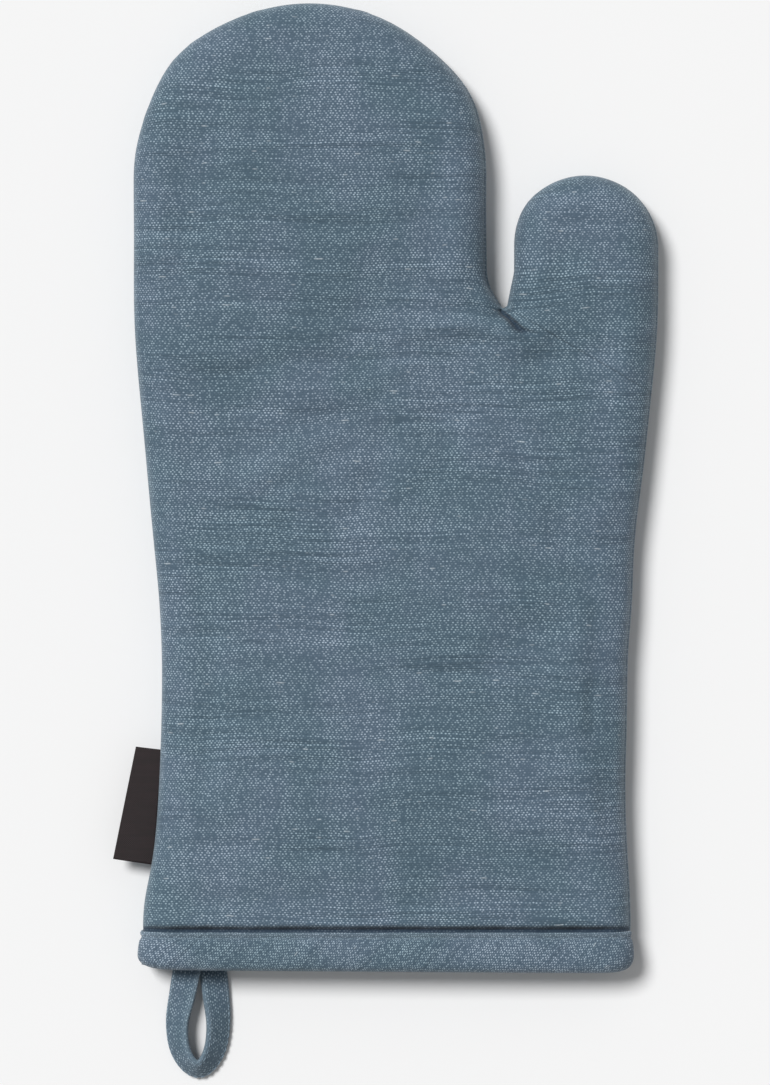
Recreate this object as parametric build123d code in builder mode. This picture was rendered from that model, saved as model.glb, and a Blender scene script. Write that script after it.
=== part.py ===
"""A padded oven mitt with an open thumb, a bound cuff, a hanging loop and a side label.

The mitt lies flat, palm side up. X runs across the cuff towards the thumb, Y from the cuff to the
fingertips and Z up from the face it rests on. The origin is on that face, midway along the cuff's
edge. Each panel is cut in palm, finger and thumb sections at the two fold lines, so that the
fingers and the thumb can turn.
"""

from build123d import *
from math import cos, radians, sin
import os

os.makedirs("parts", exist_ok=True)

# ---- Driving dimensions, in millimetres ----

# Plan of the mitt
cuff_left = 80.9
cuff_right = 80.7
waist_left = 74.2
waist_right = 79.7
waist_height = 98.0
heel_left = 76.0
heel_right = 83.6
heel_left_height = 132.0
heel_right_height = 155.0
finger_centre_x = -25.0
finger_centre_y = 262.0
finger_radius = 58.0
notch_width = 9.0
thumb_centre_y = 239.5
thumb_radius = 23.75
crotch_height = 217.2
crotch_radius = 1.2
crotch_offset = 6.4
finger_flare_height = 226.5
thumb_flare_height = 231.0
flare_radius = 9.0

# Layers through the mitt
thickness = 20.0
edge_radius = 9.0
shell_cloth = 0.8
wadding_depth = 4.0
lining_cloth = 0.5
layer_gap = 0.1
seam_gap = 0.4

# Folds
joint_gap = 0.3
finger_fold_rise = 14.8
thumb_fold_rise = 12.0
thumb_fold_angle = 30.0

# Binding round the cuff
binding_height = 13.0
binding_cloth = 1.2
stitch_inset = 2.0
stitch_length = 2.2
stitch_pitch = 3.2
thread = 0.3
thread_proud = 0.1

# Hanging loop
loop_x = -62.3
loop_width = 22.0
loop_length = 34.0
loop_cloth = 1.8
loop_lift = 0.3
eye_width = 7.0
eye_length = 25.0

# Side label
label_top = 73.0
label_bottom = 36.0
label_narrow = 8.0
label_wide = 12.0
label_cloth = 1.0

# ---- Sizes that follow from them ----

finger_left = finger_centre_x - finger_radius
finger_right = finger_centre_x + finger_radius
thumb_left = finger_right + notch_width
thumb_centre_x = thumb_left + thumb_radius
thumb_right = thumb_centre_x + thumb_radius
crotch_x = finger_right + crotch_offset
notch_x = finger_right + notch_width / 2
middle = thickness / 2

# Depth of each surface below the outside of the shell
shell_inside = shell_cloth
wadding_outside = shell_inside + layer_gap
wadding_inside = wadding_outside + wadding_depth
lining_outside = wadding_inside + layer_gap
lining_inside = lining_outside + lining_cloth
leaf_outside = lining_inside + layer_gap
leaf_inside = leaf_outside + binding_cloth

# The shell steps in under the binding, which then lies flush with the rest of the mitt
binding_outset = binding_cloth + layer_gap
shell_step = binding_height + layer_gap

# Room beyond the mitt for the solids that cut it
far = 400.0
skirt = 30.0

finger_fold_y = crotch_height + finger_fold_rise
thumb_across = (cos(radians(thumb_fold_angle)), -sin(radians(thumb_fold_angle)))
thumb_along = (sin(radians(thumb_fold_angle)), cos(radians(thumb_fold_angle)))
thumb_fold_x = crotch_x + thumb_fold_rise * thumb_along[0]
thumb_fold_y = crotch_height + thumb_fold_rise * thumb_along[1]


def thumb_line(x, shift):
    """Y of the thumb's fold line at x, moved towards the thumb by shift."""
    drop = (x - thumb_fold_x) * thumb_across[1] / thumb_across[0]
    return thumb_fold_y + drop + shift / thumb_along[1]


# ---- Plan outline ----

with BuildSketch() as outline:
    with BuildLine():
        right_heel = TangentArc(
            (thumb_right, thumb_centre_y), (heel_right, heel_right_height), tangent=(0, -1)
        )
        right_waist = TangentArc(
            right_heel @ 1, (waist_right, waist_height), tangent=right_heel % 1
        )
        right_cuff = TangentArc(right_waist @ 1, (cuff_right, 0), tangent=right_waist % 1)
        right_end = Line(right_cuff @ 1, right_cuff @ 1 + (right_cuff % 1) * 2 * skirt)
        ThreePointArc(
            (thumb_right, thumb_centre_y),
            (thumb_centre_x, thumb_centre_y + thumb_radius),
            (thumb_left, thumb_centre_y),
        )
        FilletPolyline(
            (thumb_left, thumb_centre_y),
            (thumb_left, thumb_flare_height),
            (crotch_x, crotch_height),
            (finger_right, finger_flare_height),
            (finger_right, finger_centre_y),
            radius=(flare_radius, crotch_radius, flare_radius),
        )
        ThreePointArc(
            (finger_right, finger_centre_y),
            (finger_centre_x, finger_centre_y + finger_radius),
            (finger_left, finger_centre_y),
        )
        left_heel = TangentArc(
            (finger_left, finger_centre_y), (-heel_left, heel_left_height), tangent=(0, -1)
        )
        left_waist = TangentArc(
            left_heel @ 1, (-waist_left, waist_height), tangent=left_heel % 1
        )
        left_cuff = TangentArc(left_waist @ 1, (-cuff_left, 0), tangent=left_waist % 1)
        left_end = Line(left_cuff @ 1, left_cuff @ 1 + (left_cuff % 1) * 2 * skirt)
        Line(left_end @ 1, right_end @ 1)
    make_face()


# ---- Envelopes: the mitt's outside shape, moved inwards ----


def envelope(inset, level, radius, top=far):
    """The plan up to top, moved in by inset, from level to thickness - level, its rims rounded."""
    with BuildPart() as block:
        with BuildSketch(Plane.XY.offset(level)):
            add(outline.sketch)
            if inset:
                offset(amount=-inset)
            with Locations((0, (top - skirt) / 2)):
                Rectangle(far, top + skirt, mode=Mode.INTERSECT)
        extrude(amount=thickness - 2 * level)
        rims = block.edges().filter_by(Axis.Z, reverse=True).filter_by(Axis.X, reverse=True)
        fillet(rims, radius=radius)
    return block.part


def slab(low, high):
    """A wide block from Y low to Y high that selects a stretch of the mitt."""
    with BuildPart() as block:
        with BuildSketch(Plane.XY.offset(-far / 2)):
            with Locations((0, (low + high) / 2)):
                Rectangle(far, high - low)
        extrude(amount=far)
    return block.part


def cuffed(depth):
    """The thinner envelope at a depth that passes under the binding."""
    level = depth + binding_outset
    with BuildPart() as block:
        add(envelope(depth, level, edge_radius - level))
        add(slab(-skirt, shell_step + depth), mode=Mode.INTERSECT)
    return block.part


def plain(depth):
    """The envelope at a depth, with no step."""
    return envelope(depth, depth, edge_radius - depth)


def stepped(depth):
    """The envelope at a depth, stepped in under the binding at the cuff."""
    cuff = cuffed(depth)
    with BuildPart() as block:
        add(plain(depth))
        add(slab(shell_step + depth, far), mode=Mode.INTERSECT)
        add(cuff)
    return block.part


def half(low, high):
    """A wide block from Z low to Z high that selects the front or the back."""
    with BuildPart() as block:
        with BuildSketch(Plane.XY.offset(low)):
            Rectangle(2 * far, 2 * far)
        extrude(amount=high - low)
    return block.part


def zone(*corners):
    """A tall prism that selects a section of the mitt in plan."""
    with BuildPart() as block:
        with BuildSketch(Plane.XY.offset(-far / 2)):
            with BuildLine():
                Polyline(*corners, close=True)
            make_face()
        extrude(amount=far)
    return block.part


# ---- Sections at the two folds, and the front and back halves ----

palm_top = finger_fold_y - joint_gap / 2
sections = {
    "palm": zone(
        (-far, 0),
        (far, 0),
        (far, thumb_line(far, -joint_gap / 2)),
        (notch_x, thumb_line(notch_x, -joint_gap / 2)),
        (notch_x, palm_top),
        (-far, palm_top),
    ),
    "fingers": zone(
        (-far, palm_top + joint_gap),
        (notch_x, palm_top + joint_gap),
        (notch_x, far),
        (-far, far),
    ),
    "thumb": zone(
        (notch_x, thumb_line(notch_x, joint_gap / 2)),
        (far, thumb_line(far, joint_gap / 2)),
        (far, far),
        (notch_x, far),
    ),
}
halves = {
    "front": half(middle + seam_gap / 2, far),
    "back": half(-far, middle - seam_gap / 2),
}


# ---- Shell, wadding and lining: a front and a back panel of each ----

layers = {
    "shell": (stepped(0), stepped(shell_inside)),
    "wadding": (stepped(wadding_outside), plain(wadding_inside)),
    "lining": (plain(lining_outside), plain(lining_inside)),
}

for layer, (outside, inside) in layers.items():
    for side, half_space in halves.items():
        for section, prism in sections.items():
            name = f"{layer}_{side}_{section}"
            with BuildPart() as panel:
                add(outside)
                add(inside, mode=Mode.SUBTRACT)
                add(half_space, mode=Mode.INTERSECT)
                add(prism, mode=Mode.INTERSECT)
            panel.part.label = name
            export_step(panel.part, f"parts/{name}.step")


# ---- Seam threads, which join each front panel to its back panel round the edge ----


def seam_line(depth):
    """A square thread along the mitt's edge, its outer side at a depth below the shell."""
    with BuildPart() as line:
        with BuildSketch(Plane.XY.offset(middle - thread / 2)):
            add(outline.sketch)
            offset(amount=-depth)
        extrude(amount=thread)
        with BuildSketch(Plane.XY.offset(middle - thread / 2)):
            add(outline.sketch)
            offset(amount=-(depth + thread))
        extrude(amount=thread, mode=Mode.SUBTRACT)
    return line.part


seams = {
    "shell_seam": seam_line((shell_inside - thread) / 2),
    "lining_seam": seam_line((lining_outside + lining_inside - thread) / 2),
}

for seam, line in seams.items():
    for section, prism in sections.items():
        name = f"{seam}_{section}"
        with BuildPart() as seam_thread:
            add(line)
            add(prism, mode=Mode.INTERSECT)
        seam_thread.part.label = name
        export_step(seam_thread.part, f"parts/{name}.step")


# ---- Cuff binding: one bias strip folded round the raw edges of all the layers ----

binding_reach = 2 * binding_height
binding_outside = envelope(-binding_outset, 0, edge_radius, binding_reach)
binding_inside = envelope(-layer_gap, binding_cloth, edge_radius - binding_cloth, binding_reach)
binding_strip = slab(-binding_outset, binding_height)
binding_room = slab(-layer_gap, far)
leaf = plain(leaf_outside)
mouth = plain(leaf_inside)

with BuildPart() as channel:
    add(binding_inside)
    add(binding_room, mode=Mode.INTERSECT)
    add(leaf, mode=Mode.SUBTRACT)

with BuildPart() as cuff_binding:
    add(binding_outside)
    add(binding_strip, mode=Mode.INTERSECT)
    add(channel.part, mode=Mode.SUBTRACT)
    add(mouth, mode=Mode.SUBTRACT)
cuff_binding.part.label = "cuff_binding"
export_step(cuff_binding.part, "parts/cuff_binding.step")

# The row of stitches that holds the binding, on the flat of the front and of the back
stitch_y = binding_height - stitch_inset
stitch_span = cuff_left + cuff_right - 2 * (edge_radius + stitch_length)
stitch_count = int(stitch_span // stitch_pitch)
stitch_middle = (cuff_right - cuff_left) / 2

with BuildPart() as binding_stitches:
    for z in (thread / 2, thickness + thread_proud - thread / 2):
        with Locations((stitch_middle, stitch_y, z)):
            with GridLocations(stitch_pitch, 1, stitch_count, 1):
                Box(stitch_length, thread, thread)
binding_stitches.part.label = "binding_stitches"
export_step(binding_stitches.part, "parts/binding_stitches.step")


# ---- Hanging loop: a folded strip whose ends are caught under the binding ----

loop_fold_y = -(binding_outset + joint_gap + loop_cloth / 2)
loop_end_y = loop_fold_y - loop_length
loop_round = loop_width / 2
eye_y = loop_fold_y - loop_length / 2

with BuildPart() as hanging_loop:
    with BuildSketch(Plane.XY.offset(loop_lift)):
        with BuildLine():
            Line((loop_x + loop_round, loop_fold_y), (loop_x - loop_round, loop_fold_y))
            Line((loop_x - loop_round, loop_fold_y), (loop_x - loop_round, loop_end_y + loop_round))
            ThreePointArc(
                (loop_x - loop_round, loop_end_y + loop_round),
                (loop_x, loop_end_y),
                (loop_x + loop_round, loop_end_y + loop_round),
            )
            Line((loop_x + loop_round, loop_end_y + loop_round), (loop_x + loop_round, loop_fold_y))
        make_face()
        with Locations((loop_x, eye_y)):
            Ellipse(eye_width / 2, eye_length / 2, mode=Mode.SUBTRACT)
    extrude(amount=loop_cloth)
    with BuildSketch(Plane.YZ.offset(loop_x - loop_round)):
        with Locations((loop_fold_y, loop_lift + loop_cloth / 2)):
            Circle(loop_cloth / 2)
    extrude(amount=loop_width)
hanging_loop.part.label = "hanging_loop"
export_step(hanging_loop.part, "parts/hanging_loop.step")


# ---- Side label: a folded woven tab caught in the seam beside the thumbless edge ----


label_room = Vector(joint_gap + label_cloth / 2, 0)
root_top = left_cuff @ (1 - label_top / waist_height) - label_room
root_bottom = left_cuff @ (1 - label_bottom / waist_height) - label_room
label_level = middle - label_cloth / 2
middle_up = Vector(0, 0, middle)

with BuildPart() as side_label:
    with BuildSketch(Plane.XY.offset(label_level)):
        with BuildLine():
            Polyline(
                (root_top.X, root_top.Y),
                (root_bottom.X, root_bottom.Y),
                (root_bottom.X - label_wide, root_bottom.Y),
                (root_top.X - label_narrow, root_top.Y),
                close=True,
            )
        make_face()
    extrude(amount=label_cloth)
    with BuildSketch(Plane(origin=root_bottom + middle_up, z_dir=root_top - root_bottom)):
        Circle(label_cloth / 2)
    extrude(amount=(root_top - root_bottom).length)
side_label.part.label = "side_label"
export_step(side_label.part, "parts/side_label.step")
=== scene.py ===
"""A padded oven mitt, lying flat with its palm side up.

Two cloth faces are sewn together round the edge, with wadding and a lining inside each. A bias strip
binds the mouth, a folded strip makes the hanging loop, and a woven tab is caught in the side seam.
"""

import bpy
import numpy as np
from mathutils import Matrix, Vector
from mathutils.geometry import delaunay_2d_cdt


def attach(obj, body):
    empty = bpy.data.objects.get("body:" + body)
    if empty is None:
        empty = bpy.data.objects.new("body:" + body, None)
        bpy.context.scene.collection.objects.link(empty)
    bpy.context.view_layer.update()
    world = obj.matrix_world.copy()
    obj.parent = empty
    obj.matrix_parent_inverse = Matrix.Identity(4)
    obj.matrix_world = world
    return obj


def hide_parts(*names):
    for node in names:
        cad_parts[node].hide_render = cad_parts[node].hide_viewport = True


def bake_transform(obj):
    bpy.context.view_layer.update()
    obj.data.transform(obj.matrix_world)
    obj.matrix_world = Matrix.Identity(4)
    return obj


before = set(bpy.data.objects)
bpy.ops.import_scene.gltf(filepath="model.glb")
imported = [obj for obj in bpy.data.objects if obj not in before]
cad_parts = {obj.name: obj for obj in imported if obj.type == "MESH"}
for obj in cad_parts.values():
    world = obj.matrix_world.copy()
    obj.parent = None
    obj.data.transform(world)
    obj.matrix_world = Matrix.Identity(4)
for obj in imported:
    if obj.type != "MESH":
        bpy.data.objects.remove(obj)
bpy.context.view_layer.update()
scene = bpy.context.scene

# ------------------------------------------------------------------ The cut of the mitt
# Front and back are cut from one pattern: a cuff, a slight waist, a heel that widens to the
# knuckles, a round finger end, and a thumb that leaves the right edge at a tight crotch.
mm = 0.001
cuff_left, cuff_right = -80.9 * mm, 80.7 * mm
waist_left, waist_right, waist_y = -74.2 * mm, 79.7 * mm, 98.0 * mm
heel_left, heel_left_y = -76.0 * mm, 132.0 * mm
heel_right, heel_right_y = 83.6 * mm, 155.0 * mm
finger_x, finger_y, finger_radius = -25.0 * mm, 262.0 * mm, 58.0 * mm
thumb_x, thumb_y, thumb_radius = 65.75 * mm, 239.5 * mm, 23.75 * mm
crotch_x, crotch_y, crotch_radius = 39.4 * mm, 217.2 * mm, 1.2 * mm
finger_flare_y, finger_flare_radius = 226.5 * mm, 16.0 * mm
thumb_flare_y, thumb_flare_radius = 231.0 * mm, 9.0 * mm
thumb_fold_angle = np.radians(30.0)
skirt = 30.0 * mm

down = np.array([0.0, -1.0])


def tangent_arc(start, heading, end, count=80):
    """Points of the arc that leaves start along heading and ends at end: a chord that grows as the
    sine of the turn so far, pointing half the turn away from the heading. Also the last heading."""
    start, end = np.array(start), np.array(end)
    chord = end - start
    cross = heading[0] * chord[1] - heading[1] * chord[0]
    half_turn = np.arctan2(cross, heading @ chord)
    turn = np.linspace(0.0, 1.0, count) * half_turn
    length = np.linalg.norm(chord) * np.sin(turn) / np.sin(half_turn)
    way = np.stack(
        [
            heading[0] * np.cos(turn) - heading[1] * np.sin(turn),
            heading[0] * np.sin(turn) + heading[1] * np.cos(turn),
        ],
        axis=1,
    )
    last = 2 * half_turn
    last_heading = np.array(
        [
            heading[0] * np.cos(last) - heading[1] * np.sin(last),
            heading[0] * np.sin(last) + heading[1] * np.cos(last),
        ]
    )
    return start + way * length[:, None], last_heading


def rounded_corner(before, corner, after, radius, count=24):
    """The arc of a radius that touches both legs of a corner, as a circle in the corner's wedge."""
    before, corner, after = (np.array(point) for point in (before, corner, after))
    one = (before - corner) / np.linalg.norm(before - corner)
    two = (after - corner) / np.linalg.norm(after - corner)
    half_angle = np.arccos(np.clip(one @ two, -1, 1)) / 2
    bisector = (one + two) / np.linalg.norm(one + two)
    centre = corner + bisector * radius / np.sin(half_angle)
    first = corner + one * radius / np.tan(half_angle) - centre
    last = corner + two * radius / np.tan(half_angle) - centre
    start = np.arctan2(first[1], first[0])
    sweep = np.arctan2(first[0] * last[1] - first[1] * last[0], first @ last)
    angle = start + np.linspace(0.0, 1.0, count) * sweep
    return centre + radius * np.stack([np.cos(angle), np.sin(angle)], axis=1)


def dense(points, step=0.5 * mm):
    """The same line with points at least every step, by straight interpolation along its length."""
    run = np.concatenate([[0.0], np.cumsum(np.linalg.norm(np.diff(points, axis=0), axis=1))])
    at = np.linspace(0.0, run[-1], int(run[-1] / step) + 2)
    return np.stack([np.interp(at, run, points[:, 0]), np.interp(at, run, points[:, 1])], axis=1)


def side_line(top, heel, waist, cuff):
    """One side from the lobe's widest point down to below the cuff: three arcs and a straight end."""
    first, heading = tangent_arc(top, down, heel)
    second, heading = tangent_arc(first[-1], heading, waist)
    third, heading = tangent_arc(second[-1], heading, cuff)
    return dense(np.concatenate([first, second[1:], third[1:], [third[-1] + heading * skirt]]))


finger_left, finger_right = finger_x - finger_radius, finger_x + finger_radius
thumb_left, thumb_right = thumb_x - thumb_radius, thumb_x + thumb_radius
left_line = side_line(
    (finger_left, finger_y), (heel_left, heel_left_y), (waist_left, waist_y), (cuff_left, 0.0)
)
right_line = side_line(
    (thumb_right, thumb_y), (heel_right, heel_right_y), (waist_right, waist_y), (cuff_right, 0.0)
)
notch_corners = [
    (finger_right, finger_y),
    (finger_right, finger_flare_y),
    (crotch_x, crotch_y),
    (thumb_left, thumb_flare_y),
    (thumb_left, thumb_y),
]
crotch_arc = rounded_corner(*notch_corners[1:4], crotch_radius)
crotch = crotch_arc[np.argmin(crotch_arc[:, 1])]
finger_flare = rounded_corner(*notch_corners[0:3], finger_flare_radius)
thumb_flare = rounded_corner(*notch_corners[2:5], thumb_flare_radius)
lowest = np.argmin(crotch_arc[:, 1])
finger_side = dense(
    np.concatenate([notch_corners[:1], finger_flare, crotch_arc[: lowest + 1]]), 0.2 * mm
)
thumb_side = dense(
    np.concatenate([crotch_arc[lowest:], thumb_flare, notch_corners[-1:]]), 0.2 * mm
)


def x_at(line, y):
    """Where a side line crosses these heights."""
    order = np.argsort(line[:, 1])
    return np.interp(y, line[order, 1], line[order, 0])


def lobe(x, y, radius, angles):
    """Points of a round end at these angles, from its left at a half turn to its right at none."""
    return np.stack([x + radius * np.cos(angles), y + radius * np.sin(angles)], axis=1)


half_circle = np.linspace(np.pi, 0.0, 400)
outline = np.concatenate(
    [
        left_line[::-1],
        lobe(finger_x, finger_y, finger_radius, half_circle)[1:],
        finger_side[1:],
        thumb_side[1:],
        lobe(thumb_x, thumb_y, thumb_radius, half_circle)[1:],
        right_line[1:],
    ]
)


def inward(points):
    """Distance from the outline and the way out to it, from the nearest stretch between points."""
    distance = np.empty(len(points))
    outward = np.empty((len(points), 2))
    for first in range(0, len(points), 4000):
        some = points[first : first + 4000]
        square = ((some[:, None, :] - outline[None, :, :]) ** 2).sum(axis=2)
        near = np.clip(np.argmin(square, axis=1), 1, len(outline) - 2)
        best = np.full(len(some), np.inf)
        foot = np.zeros_like(some)
        tangent = np.zeros_like(some)
        for a, b in ((near - 1, near), (near, near + 1)):
            leg = outline[b] - outline[a]
            share = ((some - outline[a]) * leg).sum(axis=1) / (leg**2).sum(axis=1)
            spot = outline[a] + leg * np.clip(share, 0, 1)[:, None]
            gap = np.linalg.norm(some - spot, axis=1)
            nearer = gap < best
            best = np.where(nearer, gap, best)
            foot[nearer] = spot[nearer]
            tangent[nearer] = leg[nearer]
        normal = np.stack([-tangent[:, 1], tangent[:, 0]], axis=1)
        normal /= np.linalg.norm(normal, axis=1)[:, None]
        away = foot - some
        far_enough = best > 0.05 * mm
        away[far_enough] /= best[far_enough, None]
        distance[first : first + 4000] = best
        outward[first : first + 4000] = np.where(far_enough[:, None], away, normal)
    return distance, outward


# ------------------------------------------------------------------ The padded shape
# The sewn and turned mitt is a flat pillow: its rims roll round to the seam at mid height, the back
# lies flat, the palm is gently crowned, and the cloth tucks and puckers where the crotch pulls it.
thickness = 20.0 * mm
middle = thickness / 2
front_roll, back_roll = 11.5 * mm, 8.0 * mm
rim_power = 2.1
shoulder, crown, crown_reach = 9.0 * mm, 1.3 * mm, 22.0 * mm
seam_groove, groove_height = 0.5 * mm, 0.8 * mm
back_bulge, bulge_height, bulge_reach = 0.75 * mm, 1.9 * mm, 1.3 * mm
binding_height, binding_depth = 13.0 * mm, 1.3 * mm
cuff_ease = 12.0 * mm
binding_pull = 0.6 * mm
ditch_y, ditch_width, ditch_depth = 14.3 * mm, 1.2 * mm, 2.9 * mm
cuff_start = 2.6 * mm

# Each crease: its start and end in millimetres, its depth, and its widths to its left and right
creases = [
    ((38.6, 217.8), (46.6, 209.6), 4.2, 0.4, 1.5),
    ((42.5, 213.4), (57.0, 194.5), 1.1, 2.2, 3.4),
    ((44.6, 211.7), (52.0, 209.0), 1.3, 0.7, 1.1),
    ((39.0, 217.6), (15.0, 221.8), 1.3, 3.0, 1.7),
    ((38.4, 216.4), (24.0, 213.0), 0.6, 1.6, 1.6),
    ((40.2, 218.4), (55.0, 224.6), 0.7, 1.8, 3.0),
]


def falloff(value):
    """A smooth step from 1 at nought to 0 at one."""
    value = np.clip(value, 0, 1)
    return 1 - value * value * (3 - 2 * value)


def crease_depth(points, spread=0.0):
    """How far the creases press the palm side in: a lopsided bell across each one that widens and
    fades towards its far end, and is wider by spread in the layers below."""
    depth = np.zeros(len(points))
    for start, end, deep, left_width, right_width in creases:
        start, end = np.array(start) * mm, np.array(end) * mm
        way = end - start
        length = np.linalg.norm(way)
        way /= length
        along = (points - start) @ way / length
        across = (points - start) @ np.array([-way[1], way[0]])
        width = np.where(across > 0, left_width, right_width) * mm * (0.6 + np.clip(along, 0, 1)) + spread
        fade = falloff(np.clip(along, 0, 1) ** 1.6) * falloff(-along * length / (1.5 * mm))
        depth += deep * mm * fade * np.exp(-((across / width) ** 2))
    return depth


# Where the filled mitt stands out from its pattern or draws in: a place, a push and its reach
fit = [
    ((-83.0, 214.0), (-1.3, 0.0), 30.0),
    ((-68.0, 301.0), (-1.3, 1.1), 17.0),
    ((29.0, 290.0), (1.4, 0.9), 15.0),
    ((-80.0, 22.0), (-1.6, 0.0), 13.0),
    ((-84.0, 262.0), (-0.5, 0.0), 20.0),
    ((80.0, 57.0), (-0.9, 0.0), 22.0),
    ((82.0, 122.0), (0.9, 0.0), 15.0),
    ((89.0, 215.0), (0.7, 0.0), 20.0),
    ((46.0, 253.0), (-0.2, 0.4), 10.0),
]


def pushed(points):
    """Points of the plan moved by every push, each fading as a bell with distance."""
    moved = points.copy()
    for place, push, reach in fit:
        square = ((points - np.array(place) * mm) ** 2).sum(axis=1) / (reach * mm) ** 2
        moved += np.array(push) * mm * np.exp(-square)[:, None]
    return moved


# How far the filled cloth settles from that shape, on a grid over the plan: one for each side
settling = {}
grid_low, grid_step = np.array([-96.0, -4.0]) * mm, 2.0 * mm
grid_size = (97, 166)
settle_mix = 6 * mm


def settled(points, front, distance):
    """The settling at points, by bilinear steps between the grid's corners. Towards the edge both
    sides take the mean of the two, so that they stay joined."""
    if not settling:
        return np.zeros((len(points), 3))
    at = (points - grid_low) / grid_step
    at = np.clip(at, 0, np.array(grid_size) - 1.001)
    corner = at.astype(int)
    share = at - corner
    found = []
    for side in (front, not front):
        field = settling[side]
        value = np.zeros((len(points), 3))
        for step_x, step_y in ((0, 0), (1, 0), (0, 1), (1, 1)):
            weight_x = share[:, 0] if step_x else 1 - share[:, 0]
            weight_y = share[:, 1] if step_y else 1 - share[:, 1]
            part = field[corner[:, 0] + step_x, corner[:, 1] + step_y]
            value += (weight_x * weight_y)[:, None] * part
        found.append(value)
    mixed = 0.5 * falloff(distance / settle_mix)[:, None]
    return found[0] * (1 - mixed) + found[1] * mixed


def surface(points, front, groove=True, ditched=True, spread=0.0):
    """The outside of one face over points of the plan: a superellipse rim, a crown that grows with
    the distance from the rim, less the creases, and a groove that tucks the rim in at the seam."""
    distance, outward = inward(points)
    roll = front_roll if front else back_roll
    rim = (1 - (1 - np.clip(distance / roll, 0, 1)) ** rim_power) ** (1 / rim_power)
    if front:
        height = shoulder + crown * (1 - np.exp(-distance / crown_reach))
        height = height * rim
        height -= np.minimum(crease_depth(points, spread) * np.clip(2.2 * rim, 0, 1), 0.6 * height)
    else:
        height = middle * rim
    under = falloff((points[:, 1] - binding_height) / (1.0 * mm))
    ease = np.exp(-np.clip(points[:, 1] - binding_height, 0, None) / cuff_ease)
    pucker = 1 + 0.12 * np.sin(points[:, 0] / (1.37 * mm)) + 0.16 * np.sin(points[:, 0] / (4.9 * mm) + 1.3)
    ditch = np.exp(-(((points[:, 1] - ditch_y) / ditch_width) ** 2)) * pucker
    height -= rim * (binding_depth * under + binding_pull * ease * front + ditch_depth * ditch * ditched)
    height = np.maximum(height, 0.1 * mm)
    place = points.copy()
    if groove:
        place -= outward * (seam_groove * np.exp(-height / groove_height))[:, None]
    if groove and not front:
        bulge = back_bulge * np.exp(-(((height - bulge_height) / bulge_reach) ** 2))
        place += outward * (bulge * np.clip(outward[:, 0], 0, 1))[:, None]
    place = pushed(place)
    z = middle + (height if front else -height)
    settle = settled(points, front, distance)
    place = np.concatenate([place, z[:, None]], axis=1) + settle
    place[:, 2] = np.maximum(place[:, 2], 0.02 * mm)
    return place, distance, outward


crotch_pull, crotch_reach = np.array([45.0, 224.0]) * mm, np.array([13.0, 9.0]) * mm
crotch_draw = 2.6 * mm


def pattern_place(points, distance, outward, roll):
    """Where a point lies on the flat pattern: pushed out by what the rolled rim takes up, and
    drawn down towards the crotch, where the seam allowance is tight."""
    inside = np.clip(1 - distance / roll, 0, 1)
    taken_up = roll * (np.arcsin(inside) - inside) * 0.9
    square = (((points - crotch_pull) / crotch_reach) ** 2).sum(axis=1)
    flat = points + outward * taken_up[:, None]
    flat[:, 1] += crotch_draw * np.exp(-square)
    return flat


# ------------------------------------------------------------------ Filling and settling
# Once filled, the sewn cover swells a little and puckers where the seam's curve holds it short. A
# cloth cover, joined along its seam and open at the mouth, is blown up with its seam drawn in and its
# cuff held, and only its unevenness is kept.
sim_spacing, sim_pressure, sim_frames = 3.4 * mm, 4.0, 20
lattice_rise, edge_gap = 0.87, 0.6
fill_inside, merge_distance = 1, 1e-7
seam_shrink, settle_cap, broad = 0.05, 1.5 * mm, 22.0 * mm
held_y, hold_fade = 15 * mm, 12 * mm
sideways_share, back_share = 0.25, 0.4


def even_run(points, spacing):
    """The same line with points an even spacing apart."""
    run = np.concatenate([[0.0], np.cumsum(np.linalg.norm(np.diff(points, axis=0), axis=1))])
    at = np.linspace(0.0, run[-1], int(round(run[-1] / spacing)) + 1)
    return np.stack([np.interp(at, run, points[:, 0]), np.interp(at, run, points[:, 1])], axis=1)


def cover_mesh():
    """Points of the plan along its edge and on a triangular lattice inside it, the triangles
    between them, and the edge's own points, where front and back are sewn together."""
    edge = even_run(outline[outline[:, 1] >= cuff_start], sim_spacing)
    cuff = even_run(edge[[-1, 0]], sim_spacing)[1:-1]
    low, high = edge.min(axis=0), edge.max(axis=0)
    rows = np.arange(low[1], high[1], sim_spacing * lattice_rise)
    columns = np.arange(low[0], high[0], sim_spacing)
    x, y = np.meshgrid(columns, rows)
    x = x + (np.arange(len(rows)) % 2 * sim_spacing / 2)[:, None]
    inner = np.stack([x.ravel(), y.ravel()], axis=1)
    from_edge, _ = inward(inner)
    left, right = x_at(left_line, inner[:, 1]), x_at(right_line, inner[:, 1])
    inside = (inner[:, 0] > left) & ((inner[:, 0] < right) | (inner[:, 1] > thumb_y))
    inside &= from_edge > edge_gap * sim_spacing
    inside &= inner[:, 1] > cuff_start + edge_gap * sim_spacing
    inner = inner[inside]
    points = np.concatenate([edge, cuff, inner])
    ring = np.arange(len(edge) + len(cuff))
    made = delaunay_2d_cdt(
        [Vector(point) for point in points.tolist()],
        np.stack([ring, np.roll(ring, -1)], axis=1).tolist(),
        [],
        fill_inside,
        merge_distance,
    )
    plan = np.array([point[:] for point in made[0]])
    return plan, np.array(made[2]), edge


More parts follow.
